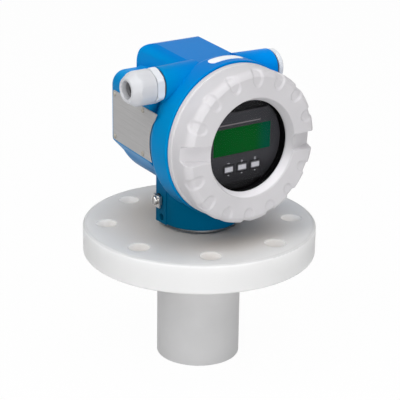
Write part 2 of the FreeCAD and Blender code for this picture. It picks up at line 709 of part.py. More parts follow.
def build_display():
    """Display plate, case, LCD, three keys and the frame that carries them."""
    back = PLATE_FRONT - PLATE_T
    keys = [("key_minus", -KEY_PITCH), ("key_plus", 0.0), ("key_enter", KEY_PITCH)]
    case = turned([(0, CASE_REAR), (CASE_R, CASE_REAR, 1.0), (CASE_R, CASE_STEP, 1.0), (PLATE_R, CASE_STEP),
                   (PLATE_R, back), (0, back)])
    plate = to_front(tube(PLATE_R, 0, back, PLATE_FRONT))
    middle = (PLATE_TOP + PLATE_LOW) / 2.0
    band = front_box(3 * PLATE_R, PLATE_TOP - PLATE_LOW, back - 1, PLATE_FRONT + 1, 0, middle)
    plate = plate.common(band)
    case = to_front(case)
    lcd = front_box(LCD_W, LCD_H, back - 3.0, PLATE_FRONT - 0.3, 0, LCD_Z, 0.8)
    plate = plate.cut(front_box(LCD_W, LCD_H, back - 1, PLATE_FRONT + 1, 0, LCD_Z, 0.8))
    case = case.cut(front_box(LCD_W, LCD_H, back - 3.0, back + 1, 0, LCD_Z, 0.8))
    for name, x in keys:
        wide = KEY_W + 2 * KEY_GAP
        tall = KEY_H + 2 * KEY_GAP
        slot = front_box(wide, tall, back - KEY_DEPTH, PLATE_FRONT + 1, x, KEY_Z, 0.9)
        plate = plate.cut(slot)
        case = case.cut(slot)
        key_rear = back - KEY_DEPTH + KEY_TRAVEL + KEY_GAP
        key = front_box(KEY_W, KEY_H, key_rear, PLATE_FRONT + KEY_PROUD, x, KEY_Z, 0.7)
        save(name, key)
    save("display_plate", plate)
    save("display_case", case)
    save("lcd_panel", lcd)
    frame_r = min(MODULE_R, CASE_R + 1.0)
    legs = to_front(tube(frame_r, frame_r - FRAME_T, MODULE_FRONT, CASE_REAR))
    keep = front_box(3 * MODULE_R, FRAME_W, MODULE_FRONT - 1, CASE_REAR + 1)
    save("display_frame", legs.common(keep))


def build_electronics():
    """Potted electronics module with its screws, and the terminal block under the roof."""
    low = -REAR + REAR_WALL
    front = MODULE_FRONT
    module = turned([(0, low), (MODULE_R - 3.0, low, 2.0), (MODULE_R, low + 8.0), (MODULE_R, front),
                     (0, front)])
    screws = []
    holes = []
    for x, z in electronics_bolts():
        top = front + 2.2
        end = low - 4.5
        screw = turned([(0, end), (1.45, end), (1.45, front), (3.4, front), (3.4, top, 0.8), (0, top)])
        screw.translate(V(x, z, 0))
        screws.append(to_front(screw))
        holes.append(Part.makeCylinder(1.7, front - low + 10, V(x, z, low - 5)))
    save("electronics_module", to_front(module.cut(holes)))
    save("electronics_screws", group(screws))
    z = attic_roof() - TERMINAL_H / 2.0
    half = TERMINAL_DEPTH / 2.0
    block = front_box(TERMINAL_COUNT * TERMINAL_PITCH, TERMINAL_H, -half, half, 0, z, 0.6)
    clamps = []
    for i in range(TERMINAL_COUNT):
        x = TERMINAL_PITCH * (i - (TERMINAL_COUNT - 1) / 2.0)
        seat = V(x, z, TERMINAL_SCREW_AT)
        block = block.cut(to_front(Part.makeCylinder(TERMINAL_POCKET_D / 2.0, half, seat)))
        screw = Part.makeCylinder(TERMINAL_SCREW_D / 2.0, TERMINAL_SCREW_T, seat)
        slot = V(x - TERMINAL_SCREW_D, z - TERMINAL_SLOT / 2.0, seat.z + TERMINAL_SCREW_T - TERMINAL_SLOT)
        screw = screw.cut(Part.makeBox(2 * TERMINAL_SCREW_D, TERMINAL_SLOT, TERMINAL_SLOT + 1.0, slot))
        clamps.append(to_front(screw))
    save("terminal_block", block)
    save("terminal_screws", group(clamps))


def build_entries():
    """Cable gland on the left, blanking plug on the right."""
    seal = ENTRY_SEAL_T
    hole = ENTRY_HOLE_D / 2.0
    thread = GLAND_THREAD_D / 2.0
    bore = GLAND_BORE_D / 2.0
    tip = GLAND_LEN
    base = hexagon(GLAND_AF, seal, GLAND_BASE)
    corner = GLAND_AF / 1.8
    trim = turned([(0, seal), (corner, seal, 1.2), (corner, GLAND_BASE, 1.2), (0, GLAND_BASE)])
    barrel = tube(thread, 0, GLAND_BASE - 1, tip - 11.0).fuse(tube(hole - 0.1, 0, -15.0, seal + 1))
    body = base.common(trim).fuse(barrel)
    bore_cut = turned([(0, -16), (bore - 1.4, -16), (bore - 1.4, 5.0), (bore, 5.0), (bore, tip), (0, tip)])
    save("gland_body", to_left(body.cut(bore_cut)))
    save("gland_seal", to_left(tube(hole + 3.0, hole, 0, seal)))
    nut_low = GLAND_BASE + 0.6
    mouth = GLAND_MOUTH_D / 2.0
    cavity = thread + SCREW_GAP
    nut = GLAND_AF / 2.0 + 0.9
    dome = turned([(cavity, nut_low), (nut, nut_low, 1.0), (nut, tip - 7.0, 7.0), (mouth + 2.4, tip, 1.2),
                   (mouth, tip, 0.8), (mouth, tip - 3.0), (bore + 0.3, tip - 9.5), (cavity, tip - 10.0)])
    hexed = hexagon(GLAND_AF + 0.6, nut_low - 1, tip + 1)
    save("gland_nut", to_left(dome.common(hexed)))
    cable = CABLE_D / 2.0
    skin = bore - SCREW_GAP
    insert = turned([(cable, 6.0), (skin, 6.0), (skin, tip - 10.5), (mouth - 0.4, tip - 5.0),
                     (cable + 0.8, tip - 5.0), (cable, tip - 5.8)])
    save("gland_insert", to_left(insert))
    top = seal + PLUG_HEAD
    head = turned([(0, seal), (PLUG_D / 2.0, seal, 0.8), (PLUG_D / 2.0, top, 2.4), (0, top)])
    head = head.fuse(tube(hole - SCREW_GAP, 0, -PLUG_LEN, seal + 1))
    head = head.cut(tube(PLUG_HOLLOW_D / 2.0, 0, -PLUG_LEN - 1.0, seal + PLUG_SLOT_DEPTH))
    slot = V(-0.36 * PLUG_D, -PLUG_SLOT_W / 2.0, top - PLUG_SLOT_DEPTH)
    head = head.cut(Part.makeBox(0.72 * PLUG_D, PLUG_SLOT_W, PLUG_SLOT_DEPTH + 1.0, slot))
    save("blanking_plug", to_right(head))
    save("plug_seal", to_right(tube(hole + 3.0, hole, 0, seal - 0.05)))


build_flange()
build_sensor()
build_spindle()
build_housing()
build_plates()
build_neck_parts()
build_cover()
build_display()
build_electronics()
build_entries()
print(len(saved), "nodes written")
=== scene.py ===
import math

import bmesh
import bpy
from mathutils import Matrix, Quaternion, Vector


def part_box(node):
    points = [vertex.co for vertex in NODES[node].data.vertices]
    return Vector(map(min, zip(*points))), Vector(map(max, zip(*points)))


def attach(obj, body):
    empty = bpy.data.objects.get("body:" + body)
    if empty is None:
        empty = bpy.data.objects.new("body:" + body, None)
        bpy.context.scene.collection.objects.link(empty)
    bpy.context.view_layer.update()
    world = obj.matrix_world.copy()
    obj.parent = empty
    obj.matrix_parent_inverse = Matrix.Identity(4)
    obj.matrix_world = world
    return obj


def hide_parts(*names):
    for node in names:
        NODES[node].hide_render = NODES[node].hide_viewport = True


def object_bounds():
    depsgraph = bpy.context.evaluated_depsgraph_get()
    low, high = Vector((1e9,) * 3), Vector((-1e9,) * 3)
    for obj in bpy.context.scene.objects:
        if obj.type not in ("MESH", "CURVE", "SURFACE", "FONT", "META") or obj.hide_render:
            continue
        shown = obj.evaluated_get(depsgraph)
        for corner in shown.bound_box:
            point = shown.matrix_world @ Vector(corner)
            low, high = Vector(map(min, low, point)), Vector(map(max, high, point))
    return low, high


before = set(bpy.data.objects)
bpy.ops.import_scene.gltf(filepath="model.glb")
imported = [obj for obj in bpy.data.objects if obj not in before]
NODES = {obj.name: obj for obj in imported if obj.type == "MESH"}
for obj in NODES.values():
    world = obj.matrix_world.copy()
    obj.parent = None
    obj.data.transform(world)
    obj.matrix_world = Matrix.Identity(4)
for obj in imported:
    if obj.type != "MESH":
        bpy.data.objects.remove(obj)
cad_low, cad_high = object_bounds()

MM = 0.001

# The photograph's camera
CAMERA_AZIMUTH = -35.0
CAMERA_ELEVATION = 19.67
CAMERA_ROLL = 0.82
CAMERA_DISTANCE = 1.3
CAMERA_AIM = Vector((0.0, 0.0, 0.060))
CAMERA_SENSOR = 36.0
CAMERA_LENS = 137.26
CAMERA_SHIFT = (0.0001, -0.0418)
CAMERA_CLIP = (0.05, 50.0)

# The studio: lamps as place, width, height and power, and how much of the floor reads as white
LAMP_AIM = Vector((0.0, 0.0, 0.08))
LAMPS = {
    "key_light": ((0.0, -0.7, 1.9), 2.0, 2.0, 27.0),
    "front_light": ((-0.6, -1.9, 0.25), 1.6, 1.0, 18.5),
    "left_light": ((-1.5, 0.0, 1.4), 1.4, 1.4, 18.0),
    "back_light": ((0.2, 0.9, 1.6), 1.6, 1.6, 3.0),
}
SOFT_LIGHT = 0.06
FLOOR_HALF = 6.0
FLOOR_GAP = 0.2 * MM
FLOOR_WHITE = 0.975
FLOOR_TONE = (0.86, 0.86, 0.86)
WHITE = (1.0, 1.0, 1.0)

# Places that the finishes and the added pieces share, read from the frame
COVER_LOW, COVER_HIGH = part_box("display_cover")
NUT_LOW, NUT_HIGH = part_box("gland_nut")
FLOOR_Z = cad_low.z
AXIS_Z = (COVER_LOW.z + COVER_HIGH.z) / 2
ENTRY = (NUT_LOW + NUT_HIGH) / 2
PLATE_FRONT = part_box("display_plate")[0].y

# Meshes: how near points are joined or cut, and the angle from which an edge shows
JOIN = 0.002 * MM
CUT = 0.0001 * MM
SMOOTH_ANGLE = math.radians(24)
COVER_ANGLE = math.radians(50)
SHEET_ANGLE = math.radians(8)

# Threads stand this far out of the plain cylinders, within the gap to their mates.
# Root and crest are half widths, as shares of the pitch.
THREAD_H = 0.28 * MM
THREAD_SINK = 0.06 * MM
THREAD_ROOT = 0.40
THREAD_CREST = 0.08
THREAD_STEPS = 96
COVER_PITCH = 2.0 * MM
COVER_TURNS = 3
COVER_LEAD = 1.4 * MM
ENTRY_PITCH = 1.5 * MM
GLAND_R = 11.0 * MM
GLAND_TURNS = 6
PLUG_R = 9.65 * MM
PLUG_TURNS = 7
PLUG_LEAD = 1.2 * MM

# The cover's section, as radii and as depths behind its face
COVER_FRONT = COVER_LOW.y
COVER_R = COVER_HIGH.x
COVER_LEN = COVER_HIGH.y - COVER_FRONT
COVER_REAR = 28.0 * MM
COVER_GROOVE = 22.7 * MM
COVER_BROW = 2.6 * MM
FACE_R = COVER_R - 5.4 * MM
LIP_R = 42.0 * MM
SIGHT_R = 38.5 * MM
LEDGE = 8.2 * MM
BEVEL_END = 7.0 * MM
PANE_R = 43.8 * MM
PANE_REAR = 13.5 * MM
SKIRT_R = 57.0 * MM
SKIRT_IN = 50.0 * MM
SEAL_R = 54.6 * MM
SEAL_NEAR = 29.9 * MM
SEAL_FAR = 32.9 * MM
GROOVE_DEPTH = 0.8 * MM
GROOVE_SLOPE = 0.7 * MM

# Rounding of the section's corners, and how finely the front is divided along and round
EDGE_ROUND = 0.8 * MM
GROOVE_ROUND = 1.5 * MM
BROW_ROUND = 8.0 * MM
FACE_ROUND = 1.2 * MM
LIP_ROUND = 1.0 * MM
ROUND_STEPS = 8
FRONT_STEP = 0.8 * MM
TURN_STEPS = 480

# Grips round the cover: long hollows laid over its front corner, and two tool slots in their row
GRIPS = 16
GRIP_PHASE = math.radians(-3.0)
GRIP_W = 9.4 * MM
GRIP_LEN = 16.0 * MM
GRIP_DEPTH = 1.3 * MM
GRIP_SOFT = 1.5 * MM
GRIP_SPREAD = 0.3
GRIP_END_R = FACE_R - 8.2 * MM
GRIP_TILT = math.radians(39.0)
SLOTS = (0, 8)
SLOT_HALF = 5.7 * MM
SLOT_SOFT = 1.3 * MM
SLOT_SPREAD = 0.5
SLOT_DRAFT = 0.2
SLOT_INNER = (41.0 * MM, 1.6 * MM)
SLOT_OUTER = (COVER_R - 0.1 * MM, 11.1 * MM)

# The nameplate's front edge runs on from the flare to its upper corner, as places along Y and Z
TRIM_LOW = (-23.2 * MM, 128.4 * MM)
TRIM_HIGH = (-30.0 * MM, 138.6 * MM)

# Blank fields printed on the nameplate: height of a row, and the bare margins round them
FIELD_H = 6.0 * MM
FIELD_LINE = 0.025
FIELD_FRONT = 16.0 * MM
FIELD_REAR = 8.0 * MM
FIELD_FOOT = 6.0 * MM
FIELD_HEAD = 4.0 * MM

# The flange, as distances from its axis: bolt holes, given a painted glow; a warm painted shade
# round the neck; a band of painted shade on the rim's edge; painted light on the side
BORES_FROM = 69.5 * MM
BORES_TO = 90.5 * MM
BORES_DEEP = 0.5 * MM
NECK_SHADE_BAND = (45.0 * MM, 95.0 * MM)
RIM_SHADE_IN = (96.0 * MM, 98.2 * MM)
RIM_SHADE_OUT = (99.2 * MM, 99.9 * MM)
SIDE_LIGHT_BAND = (98.5 * MM, 99.8 * MM)
RINGS = 4200.0

# Marks printed on the display's face, the keys' darkened edges and the cell's dots
INK_T = 0.05 * MM
MARK_W = 2.2 * MM
MARK_LINE = 0.5 * MM
MARK_GAP = 2.1 * MM
STOP_W = 1.2 * MM
STOP_H = 0.7 * MM
KEY_CLEAR = 0.35 * MM
KEY_SIDE = 0.5 * MM
KEY_END = 1.0 * MM
KEY_BLUR = 0.35 * MM
WELL_LINE = 0.7 * MM
RULE_X = -5.0 * MM
RULE_RISE = 3.2 * MM
RULE_LEN = 46.0 * MM
RULE_W = 0.9 * MM
DOTS = 2400.0


class Wire:
    """One output in a node tree. Arithmetic on it adds Math nodes."""

    def __init__(self, nodes, socket):
        self.nodes = nodes
        self.socket = socket

    def math(self, operation, *others):
        return self.nodes.add("ShaderNodeMath", {"operation": operation},
                              dict(enumerate((self, *others))))

    def __add__(self, other):
        return self.math("ADD", other)

    __radd__ = __add__

    def __sub__(self, other):
        return self.math("SUBTRACT", other)

    def __rsub__(self, other):
        return self.nodes.add("ShaderNodeMath", {"operation": "SUBTRACT"}, {0: other, 1: self})

    def __mul__(self, other):
        return self.math("MULTIPLY", other)

    __rmul__ = __mul__

    def __truediv__(self, other):
        return self.math("DIVIDE", other)

    def __pow__(self, other):
        return self.math("POWER", other)

    def __lt__(self, other):
        return self.math("LESS_THAN", other)

    def __gt__(self, other):
        return self.math("GREATER_THAN", other)

    def abs(self):
        return self.math("ABSOLUTE")

    def sin(self):
        return self.math("SINE")

    def fraction(self):
        return self.math("FRACT")

    def most(self, other):
        return self.math("MAXIMUM", other)

    def ramp(self, low, high):
        """0 below low, 1 above high, smooth between."""
        return self.nodes.add("ShaderNodeMapRange", {"interpolation_type": "SMOOTHSTEP"},
                              {"Value": self, "From Min": low, "From Max": high})


class Nodes:
    """A node tree that is filled one node at a time."""

    def __init__(self, tree, end):
        self.tree = tree
        tree.nodes.clear()
        self.end = tree.nodes.new(end)

    def add(self, kind, settings=None, inputs=None, output=0):
        """Add a node: its settings first, then its sockets' values or wires; gives one output."""
        node = self.tree.nodes.new(kind)
        for key, value in (settings or {}).items():
            setattr(node, key, value)
        for key, value in (inputs or {}).items():
            socket = node.inputs[key]
            if isinstance(value, Wire):
                self.tree.links.new(value.socket, socket)
            elif socket.type == "RGBA":
                socket.default_value = (*value, 1.0)
            else:
                socket.default_value = value
        return Wire(self, node.outputs[output])

    def outputs(self, kind, names, inputs=None):
        """Add a node of which several outputs are wanted."""
        node = self.add(kind, None, inputs).socket.node
        return [Wire(self, node.outputs[name]) for name in names]

    def seen(self):
        """1 for what the camera sees, straight, mirrored or through glass; 0 for light on pieces."""
        straight, mirrored, through = self.outputs(
            "ShaderNodeLightPath", ("Is Camera Ray", "Is Glossy Ray", "Is Transmission Ray"))
        return straight.most(mirrored).most(through)

    def done(self, wire):
        self.tree.links.new(wire.socket, self.end.inputs[0])


class Finish(Nodes):
    """A material's nodes, with the textures and blends that the finishes share."""

    def __init__(self, name):
        self.material = bpy.data.materials.new(name)
        self.material.use_nodes = True
        super().__init__(self.material.node_tree, "ShaderNodeOutputMaterial")

    def place(self):
        """Object coordinates, in metres."""
        return self.add("ShaderNodeTexCoord", output="Object")

    def axes(self):
        """Object coordinates as three wires, in metres."""
        return self.outputs("ShaderNodeSeparateXYZ", "XYZ", {0: self.place()})

    def noise(self, scale, detail=3.0, roughness=0.5, vector=None):
        return self.add("ShaderNodeTexNoise", None, {
            "Vector": vector or self.place(), "Scale": scale, "Detail": detail,
            "Roughness": roughness})

    def mix(self, factor, first, second):
        """Blend two colours."""
        return self.add("ShaderNodeMix", {"data_type": "RGBA"},
                        {0: factor, 6: first, 7: second}, output=2)

    def mottled(self, noise, dark, pale, spread=0.2):
        """Two near tones, blended by a noise round its middle."""
        return self.mix(noise.ramp(0.5 - spread, 0.5 + spread), dark, pale)

    def bump(self, height, strength, distance):
        return self.add("ShaderNodeBump", None,
                        {"Height": height, "Strength": strength, "Distance": distance})

    def paint(self, **sockets):
        """The material, from its shader's sockets; blanks in their names are underscores."""
        inputs = {key.replace("_", " "): value for key, value in sockets.items()}
        return self.shaded(self.add("ShaderNodeBsdfPrincipled", None, inputs))

    def shaded(self, shader):
        self.done(shader)
        return self.material


def linear(red, green, blue):
    """A colour as it looks on screen, 0 to 255, as the shader wants it."""
    values = []
    for level in (red, green, blue):
        s = level / 255
        values.append(s / 12.92 if s <= 0.04045 else ((s + 0.055) / 1.055) ** 2.4)
    return tuple(values)


def blue_paint():
    """Stove enamel with slight orange peel. Painted light makes it greener on the left and brighter
    on the right and at the box's upper corner; painted shade makes it darker low down on the neck.
    """
    f = Finish("blue_paint")
    x, y, z = f.axes()
    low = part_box("housing")[0]
    drift = f.noise(scale=9.0, detail=2.0)
    azure = f.mottled(drift, linear(0, 121, 201), linear(0, 127, 208))
    # Painted highlight: brighter towards the right, on the right boss's top.
    right = f.mix(x.ramp(15 * MM, 50 * MM), azure, linear(0, 139, 229))
    # Painted light: greener and a little brighter on the left side.
    upper = f.mix(x.ramp(low.x, -20 * MM), linear(0, 133, 194), right)
    # Painted shade: darker low down, where the cover and the housing shade the neck.
    neck_shade = f.mix(x.ramp(-40 * MM, 30 * MM), linear(0, 88, 122), linear(0, 97, 144))
    # Painted highlight: paler at the upper left of the box, behind the collar.
    top = z.ramp(AXIS_Z + 35 * MM, AXIS_Z + 50 * MM)
    corner = top * (1.0 - x.ramp(-31 * MM, -24 * MM)) * y.ramp(-20 * MM, 0.0)
    upper = f.mix(corner, upper, linear(0, 158, 230))
    tone = f.mix(z.ramp(low.z + 20 * MM, AXIS_Z - 20 * MM), neck_shade, upper)
    peel = f.noise(scale=520.0, detail=2.0)
    return f.paint(Base_Color=tone, Roughness=0.30 + 0.08 * drift,
                   Normal=f.bump(peel, strength=0.10, distance=0.4 * MM),
                   Specular_IOR_Level=0.03, Specular_Tint=(0.02, 0.45, 0.95))


def cover_paint():
    """Pale grey satin paint, finely textured, with painted light on the lower half of the window's
    bevel.
    """
    f = Finish("cover_paint")
    x, _, z = f.axes()
    rise = z - AXIS_Z
    radius = (x * x + rise * rise) ** 0.5
    drift = f.noise(scale=14.0)
    plain = f.mottled(drift, linear(201, 199, 202), linear(209, 207, 210))
    # Painted light: the lower half of the window's bevel is paler.
    bevel = (1.0 - radius.ramp(LIP_R - 1 * MM, LIP_R)) * (1.0 - rise.ramp(-30 * MM, 0.0))
    tone = f.mix(bevel, plain, linear(247, 245, 249))
    grain = f.noise(scale=900.0, detail=2.0)
    return f.paint(Base_Color=tone, Roughness=0.42 + 0.1 * drift, Specular_IOR_Level=0.4,
                   Normal=f.bump(grain, strength=0.08, distance=0.3 * MM))


def flange_plastic():
    """Natural white plastic that lets some light through, with faint turning rings. Painted light: a
    glow in its bolt holes and a paler side. Painted shade: a warm darkening round the neck and a
    darker band on the rim's edge.
    """
    f = Finish("flange_plastic")
    x, y, z = f.axes()
    low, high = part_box("flange")
    radius = (x * x + y * y) ** 0.5
    # Painted light: the walls of the bolt holes glow, as if light came through them.
    bores = (radius > BORES_FROM) * (radius < BORES_TO)
    bores = bores * (z > low.z + BORES_DEEP) * (z < high.z - BORES_DEEP)
    glow = f.mix(bores, (0.0, 0.0, 0.0), (0.9, 0.9, 0.9))
    rings = (radius * RINGS).sin()
    cloud = f.noise(scale=16.0)
    white = f.mottled(cloud, linear(214, 214, 214), linear(221, 221, 221), spread=0.25)
    # Painted shade: warmer and darker towards the neck.
    top = f.mix(radius.ramp(*NECK_SHADE_BAND), linear(214, 205, 196), white)
    # Painted light: the side is paler.
    tone = f.mix(radius.ramp(*SIDE_LIGHT_BAND), top, linear(232, 232, 232))
    # Painted shade: a darker band on the rim's rounded edge.
    rim = radius.ramp(*RIM_SHADE_IN) * (1.0 - radius.ramp(*RIM_SHADE_OUT))
    tone = f.mix(rim, tone, linear(204, 204, 204))
    return f.paint(Base_Color=tone, Roughness=0.48 + 0.12 * cloud, Specular_IOR_Level=0.3,
                   Normal=f.bump(rings, strength=0.04, distance=0.2 * MM),
                   Subsurface_Weight=1.0, Subsurface_Radius=WHITE, Subsurface_Scale=12 * MM,
                   Emission_Color=glow, Emission_Strength=0.18)


def sensor_plastic():
    """Light grey sensor shell with a fine moulded grain."""
    f = Finish("sensor_plastic")
    cloud = f.noise(scale=20.0)
    tone = f.mottled(cloud, linear(206, 206, 207), linear(213, 213, 214), spread=0.25)
    grain = f.noise(scale=700.0, detail=2.0)
    return f.paint(Base_Color=tone, Roughness=0.45 + 0.1 * cloud, Specular_IOR_Level=0.4,
                   Normal=f.bump(grain, strength=0.06, distance=0.3 * MM))


def gland_plastic(name, dark, pale):
    """White moulded polyamide."""
    f = Finish(name)
    cloud = f.noise(scale=60.0)
    tone = f.mottled(cloud, dark, pale)
    grain = f.noise(scale=1500.0, detail=2.0)
    return f.paint(Base_Color=tone, Roughness=0.36 + 0.1 * cloud,
                   Normal=f.bump(grain, strength=0.06, distance=0.2 * MM),
                   Subsurface_Weight=0.08, Subsurface_Radius=WHITE, Subsurface_Scale=2 * MM)


def metal(name, light, roughness, scale):
    """Plated or turned metal with fine scratches."""
    f = Finish(name)
    scratch = f.noise(scale, detail=4.0, roughness=0.7)
    tone = f.mix(scratch.ramp(0.3, 0.75), light, tuple(0.75 * level for level in light))
    return f.paint(Base_Color=tone, Metallic=1.0, Roughness=roughness + 0.15 * scratch,
                   Normal=f.bump(scratch, strength=0.08, distance=0.2 * MM))


def nameplate_metal():
    """Brushed plate with thin printed rules for fields that stay blank."""
    f = Finish("nameplate_metal")
    _, y, z = f.axes()
    low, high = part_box("nameplate")
    row = ((z - low.z) / FIELD_H).fraction()
    inside = (y > low.y + FIELD_FRONT) * (y < high.y - FIELD_REAR)
    inside = inside * (z > low.z + FIELD_FOOT) * (z < high.z - FIELD_HEAD)
    rule = ((row - 0.5).abs() < FIELD_LINE) * inside
    stretched = f.add("ShaderNodeMapping", {"vector_type": "POINT"},
                      {"Vector": f.place(), "Scale": (40.0, 40.0, 1600.0)})
    streaks = f.noise(scale=1.0, roughness=0.6, vector=stretched)
    plain = f.mottled(streaks, linear(168, 167, 167), linear(176, 175, 175))
    tone = f.mix(rule * 0.25, plain, linear(120, 118, 116))
    return f.paint(Base_Color=tone, Metallic=0.35, Roughness=0.52 + 0.08 * streaks,
                   Normal=f.bump(streaks, strength=0.04, distance=0.1 * MM))


def label_film():
    """White film label."""
    f = Finish("label_film")
    cloud = f.noise(scale=80.0, detail=2.0)
    tone = f.mottled(cloud, linear(236, 238, 242), linear(244, 246, 250))
    return f.paint(Base_Color=tone, Roughness=0.28 + 0.08 * cloud, Coat_Weight=0.2)


def moulded(name, dark, pale, roughness, scale=400.0, depth=0.10, gloss=0.5):
    """Plain moulded plastic, rubber or print with a fine grain."""
    f = Finish(name)
    grain = f.noise(scale)
    cloud = f.noise(scale / 16.0, detail=2.0)
    return f.paint(Base_Color=f.mottled(cloud, dark, pale), Roughness=roughness + 0.1 * cloud,
                   Normal=f.bump(grain, strength=depth, distance=0.3 * MM),
                   Specular_IOR_Level=gloss)


def display_face():
    """Dark printed face, with painted shade that darkens it to near black towards its foot."""
    f = Finish("display_face")
    z = f.axes()[2]
    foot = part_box("display_plate")[0].z
    grain = f.noise(scale=1600.0)
    upper = f.mottled(grain, linear(56, 56, 59), linear(61, 61, 64))
    # Painted shade: near black towards the foot, where the cover shades the face.
    tone = f.mix(z.ramp(foot, foot + 22 * MM), linear(32, 32, 34), upper)
    return f.paint(Base_Color=tone, Roughness=0.5 + 0.1 * grain, Specular_IOR_Level=0.15,
                   Normal=f.bump(grain, strength=0.04, distance=0.3 * MM))


def key_plastic():
    """Pale keys, darkened round their edges. The pattern repeats at the pitch of their row."""
    f = Finish("key_plastic")
    x, _, z = f.axes()
    low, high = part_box("key_plus")
    next_low, next_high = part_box("key_minus")
    middle = (low + high) / 2
    half = (high - low) / 2
    pitch = middle.x - (next_low.x + next_high.x) / 2
    across = (((x - middle.x) / pitch + 0.5).fraction() - 0.5).abs() * abs(pitch)
    # Darker round the edges, so that less of each key shows pale.
    side = across.ramp(half.x - KEY_SIDE - KEY_BLUR, half.x - KEY_SIDE + KEY_BLUR)
    end = (z - middle.z).abs().ramp(half.z - KEY_END - KEY_BLUR, half.z - KEY_END + KEY_BLUR)
    grain = f.noise(scale=900.0)
    plain = f.mottled(grain, linear(202, 202, 205), linear(212, 212, 215))
    tone = f.mix(side.most(end), plain, linear(70, 70, 73))
    return f.paint(Base_Color=tone, Roughness=0.45 + 0.1 * grain,
                   Normal=f.bump(grain, strength=0.05, distance=0.3 * MM))


def lcd_cell():
    """Green cell with a fine grid of dots, cooler towards its right end."""
    f = Finish("lcd_cell")
    x, _, z = f.axes()
    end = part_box("lcd_panel")[1].x
    dots = ((x * DOTS).sin() * (z * DOTS).sin()).abs()
    green = f.mix(dots, linear(0, 82, 26), linear(2, 90, 30))
    tone = f.mix(x.ramp(end - 17 * MM, end - 3 * MM) * 0.8, green, linear(0, 84, 66))
    return f.paint(Base_Color=tone, Roughness=0.42 + 0.04 * dots, Specular_IOR_Level=0.02)


def window_glass():
    """Clear pane that mirrors a little, more at a slant and where it is smeared."""
    f = Finish("window_glass")
    smear = f.noise(scale=30.0)
    clear = f.add("ShaderNodeBsdfTransparent", None, {"Color": (0.95, 0.95, 0.96)})
    mirror = f.add("ShaderNodeBsdfGlossy", None, {"Roughness": 0.02})
    sheen = f.add("ShaderNodeFresnel", None, {"IOR": 1.45})
    share = sheen * (0.015 + 0.02 * smear)
    return f.shaded(f.add("ShaderNodeMixShader", None, {0: share, 1: clear, 2: mirror}))


def paint_nodes():
    """Every CAD node gets its finish."""
    dressed = (
        (blue_paint(), ["housing"]),
        (cover_paint(), ["display_cover"]),
        (flange_plastic(), ["flange"]),
        (sensor_plastic(), ["sensor_housing"]),
        (nameplate_metal(), ["nameplate"]),
        (label_film(), ["top_label"]),
        (window_glass(), ["cover_window"]),
        (display_face(), ["display_plate"]),
        (lcd_cell(), ["lcd_panel"]),
        (key_plastic(), ["key_minus", "key_plus", "key_enter"]),
        (gland_plastic("gland_plastic", linear(214, 217, 222), linear(221, 224, 229)),
         ["gland_body", "blanking_plug", "lock_nut"]),
        # The nut's copy of the same white polyamide is darker: painted shade.
        (gland_plastic("nut_plastic_shaded", linear(199, 200, 204), linear(207, 208, 212)),
         ["gland_nut"]),
        (metal("bright_steel", linear(205, 203, 200), 0.24, 900.0),
         ["ground_clamp", "ground_screw", "spindle_clip", "electronics_screws",
          "terminal_screws"]),
        (metal("dull_steel", linear(62, 60, 58), 0.3, 900.0),
         ["ground_washer", "swivel_lock_screw"]),
        (metal("aged_steel", linear(172, 168, 158), 0.42, 900.0), ["nameplate_pins"]),
        (metal("brass", linear(206, 178, 110), 0.3, 700.0), ["temperature_probe"]),
        (metal("machined_alloy", linear(200, 201, 204), 0.32, 500.0), ["swivel_spindle"]),
        (moulded("black_plastic", linear(12, 12, 13), linear(16, 16, 17), 0.5, gloss=0.15),
         ["window_retainer", "display_case", "display_frame", "electronics_module",
          "sensor_connector"]),
        (moulded("seal_rubber", linear(30, 30, 31), linear(40, 40, 41), 0.62),
         ["sensor_gasket", "sensor_lead", "neck_seals", "gland_seal", "cover_seal",
          "window_seal", "plug_seal"]),
        (moulded("insert_rubber", linear(96, 96, 98), linear(108, 108, 110), 0.6),
         ["gland_insert"]),
        (moulded("piezo_ceramic", linear(214, 200, 168), linear(222, 210, 180), 0.5),
         ["piezo_disc"]),
        (moulded("damping_foam", linear(92, 92, 95), linear(112, 112, 115), 0.8,
                 scale=260.0, depth=0.5), ["damping_foam"]),
        (moulded("resin", linear(44, 38, 32), linear(54, 47, 40), 0.3),
         ["matching_layer", "sensor_potting"]),
        (moulded("terminal_plastic", linear(46, 120, 70), linear(52, 130, 78), 0.45),
         ["terminal_block"]),
    )
    finishes = {name: finish for finish, names in dressed for name in names}
    assert sorted(finishes) == sorted(NODES)
    for name, finish in finishes.items():
        NODES[name].data.materials.clear()
        NODES[name].data.materials.append(finish)
    return finishes


def smooth_nodes():
    """Every solid's loose triangles are joined, and its round faces shaded smooth."""
    tree = bpy.data.node_groups.new("round_faces", "GeometryNodeTree")
    for way in ("INPUT", "OUTPUT"):
        tree.interface.new_socket("Geometry", in_out=way, socket_type="NodeSocketGeometry")
    nodes = Nodes(tree, "NodeGroupOutput")
    start = nodes.add("NodeGroupInput")
    joined = nodes.add("GeometryNodeMergeByDistance", None, {"Geometry": start, "Distance": JOIN})
    smooth = nodes.add("GeometryNodeSetShadeSmooth", {"domain": "FACE"}, {"Geometry": joined})
    angle = nodes.add("GeometryNodeInputMeshEdgeAngle", output="Unsigned Angle")
    below = nodes.add("FunctionNodeCompare", {"operation": "LESS_THAN"},
                      {0: angle, 1: SMOOTH_ANGLE})
    nodes.done(nodes.add("GeometryNodeSetShadeSmooth", {"domain": "EDGE"},
                         {"Geometry": smooth, "Shade Smooth": below}))
    for node in NODES.values():
        node.modifiers.new("round_faces", "NODES").node_group = tree


def add_object(name, mesh, finish):
    """An object at the origin, from a finished mesh."""
    data = bpy.data.meshes.new(name)
    mesh.to_mesh(data)
    mesh.free()
    data.materials.append(finish)
    made = bpy.data.objects.new(name, data)
    bpy.context.scene.collection.objects.link(made)
    return made


